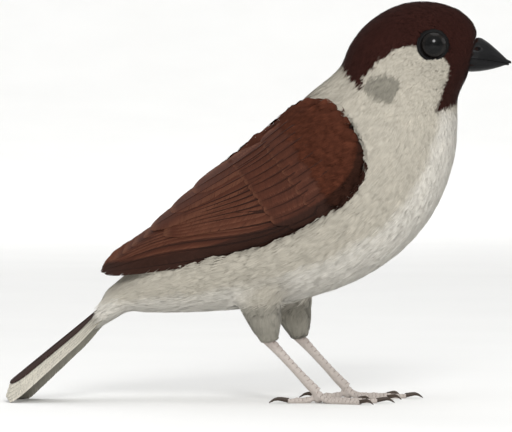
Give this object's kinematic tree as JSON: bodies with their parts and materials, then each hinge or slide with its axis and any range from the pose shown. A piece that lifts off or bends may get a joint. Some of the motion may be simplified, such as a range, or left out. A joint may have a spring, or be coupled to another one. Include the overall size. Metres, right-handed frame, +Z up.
{
  "type": "male house sparrow, standing, life size",
  "caption": "A life-size male house sparrow standing on both feet, head up and facing forward, wings folded, tail sloping down to the floor.",
  "frame": {"origin": "on the floor, under the middle of the bounding box", "axes": "+X the way the bird faces, +Y its left, +Z up"},
  "size_m": [0.1224, 0.0418, 0.096],
  "materials": {
    "grey_plumage": "soft contour feathers, pale grey-beige",
    "cap_plumage": "short dark brown feathers",
    "wing_plumage": "firm brown feathers, darker at the lower edge",
    "tail_plumage": "firm feathers, dark above and pale at the sides",
    "thigh_plumage": "short grey feathers",
    "bill_horn": "black horn, softly glossy",
    "eye": "wet and nearly black",
    "leg_skin": "scaled bare skin, pinkish grey",
    "claw_horn": "dark horn"
  },
  "bodies": {
    "root": {"trunk": "grey_plumage", "neck": "grey_plumage", "head": "cap_plumage", "bill_upper": "bill_horn", "bill_lower": "bill_horn", "eye_left": "eye", "eye_right": "eye", "wing_left_coverts": "wing_plumage", "wing_left_secondaries": "wing_plumage", "wing_left_primaries": "wing_plumage", "wing_right_coverts": "wing_plumage", "wing_right_secondaries": "wing_plumage", "wing_right_primaries": "wing_plumage", "tail_centre": "tail_plumage", "tail_left": "tail_plumage", "tail_right": "tail_plumage", "thigh_left": "thigh_plumage", "thigh_right": "thigh_plumage", "tarsus_left": "leg_skin", "tarsus_right": "leg_skin", "foot_left": "leg_skin", "foot_right": "leg_skin", "claw_left_hind": "claw_horn", "claw_left_inner": "claw_horn", "claw_left_middle": "claw_horn", "claw_left_outer": "claw_horn", "claw_right_hind": "claw_horn", "claw_right_inner": "claw_horn", "claw_right_middle": "claw_horn", "claw_right_outer": "claw_horn"}
  },
  "joints": []
}
